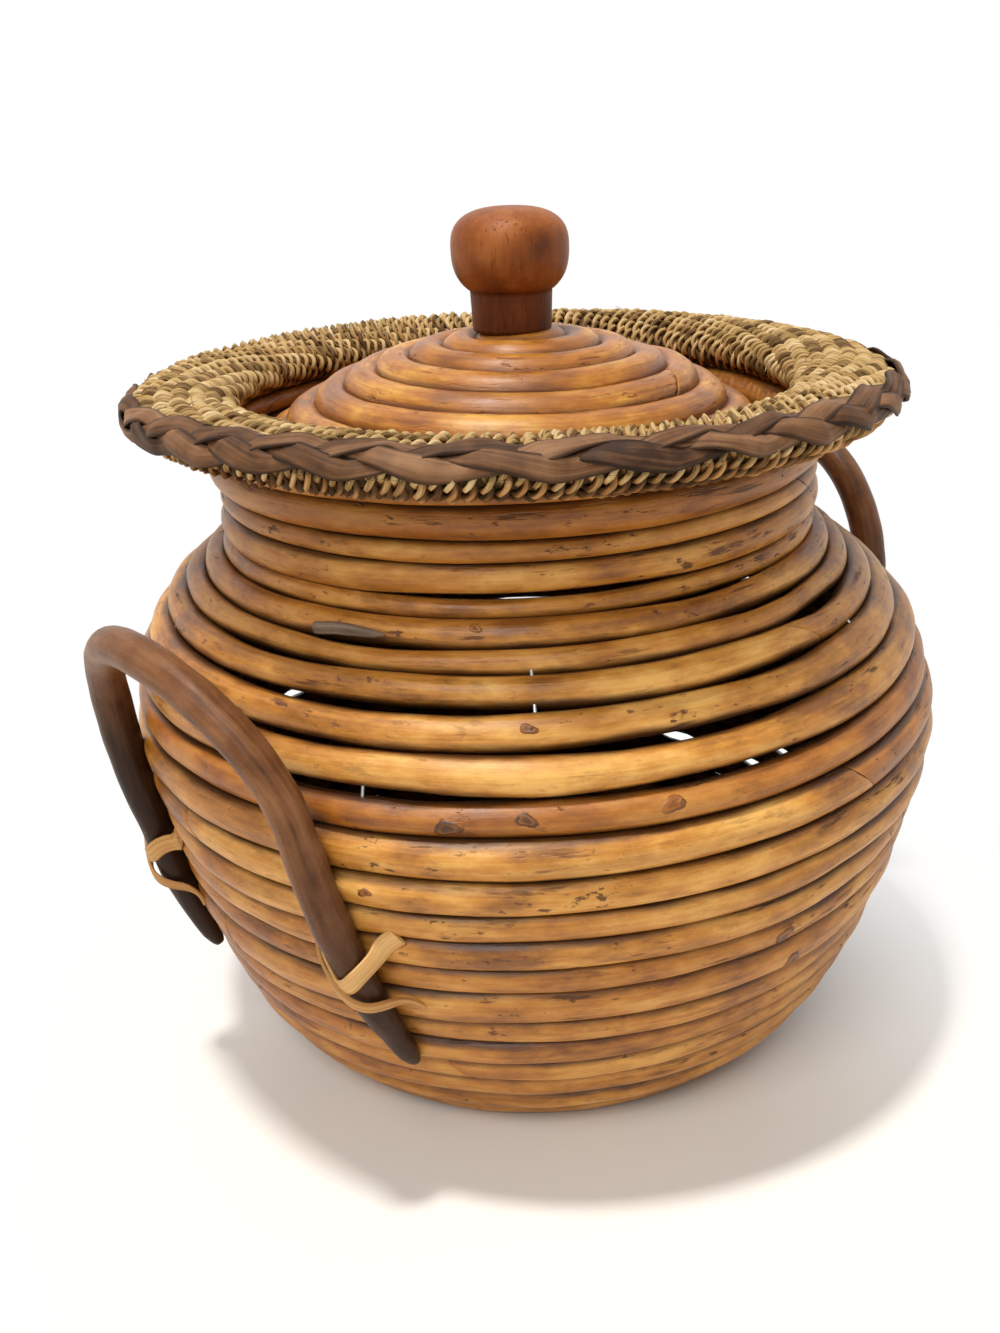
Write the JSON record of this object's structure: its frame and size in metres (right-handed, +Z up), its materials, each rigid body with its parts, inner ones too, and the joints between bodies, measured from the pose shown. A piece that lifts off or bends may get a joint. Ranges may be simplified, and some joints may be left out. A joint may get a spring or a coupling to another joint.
{
  "type": "lidded reed basket",
  "caption": "Round lidded basket coiled from bent reed rods, with a cord-wrapped braided rim, a domed lid with a turned knob, and two lashed bail handles.",
  "frame": {"origin": "on the floor, under the middle of the flat base", "axes": "+Z up through the knob; the two handles lie on -X and +X"},
  "size_m": [0.2596, 0.2354, 0.2375],
  "materials": {
    "reed": "varnished, satin",
    "lid_reed": "varnished, satin",
    "seagrass_cord": "dry twisted straw",
    "straw_core": "dry straw",
    "bark_braid": "dry bark strip",
    "knob_wood": "turned, satin",
    "handle_bark": "bark on, satin",
    "cane": "split cane",
    "steel": "zinc plated"
  },
  "bodies": {
    "basket": {"base_rod_1": "reed", "base_rod_2": "reed", "base_rod_3": "reed", "wall_rod_01": "reed", "wall_rod_02": "reed", "wall_rod_03": "reed", "wall_rod_04": "reed", "wall_rod_05": "reed", "wall_rod_06": "reed", "wall_rod_07": "reed", "wall_rod_08": "reed", "wall_rod_09": "reed", "wall_rod_10": "reed", "wall_rod_11": "reed", "wall_rod_12": "reed", "wall_rod_13": "reed", "wall_rod_14": "reed", "wall_rod_15": "reed", "lid_seat_hoop": "reed", "lashing_left_near_under": "cane", "lashing_left_near_over": "cane", "lashing_left_far_under": "cane", "lashing_left_far_over": "cane", "lashing_right_near_under": "cane", "lashing_right_near_over": "cane", "lashing_right_far_under": "cane", "lashing_right_far_over": "cane", "rim_cord_roll": "seagrass_cord", "rim_core": "straw_core", "rim_braid": "bark_braid", "handle_left": "handle_bark", "handle_right": "handle_bark"},
    "lid": {"lid_rod_1": "lid_reed", "lid_rod_2": "lid_reed", "lid_rod_3": "lid_reed", "knob": "knob_wood", "knob_washer": "steel", "knob_screw": "steel"}
  },
  "joints": [
    {"name": "lid_lift", "type": "slide", "parent": "basket", "child": "lid", "axis": [0, 0, 1], "range_m": [0, 0.12]}
  ]
}
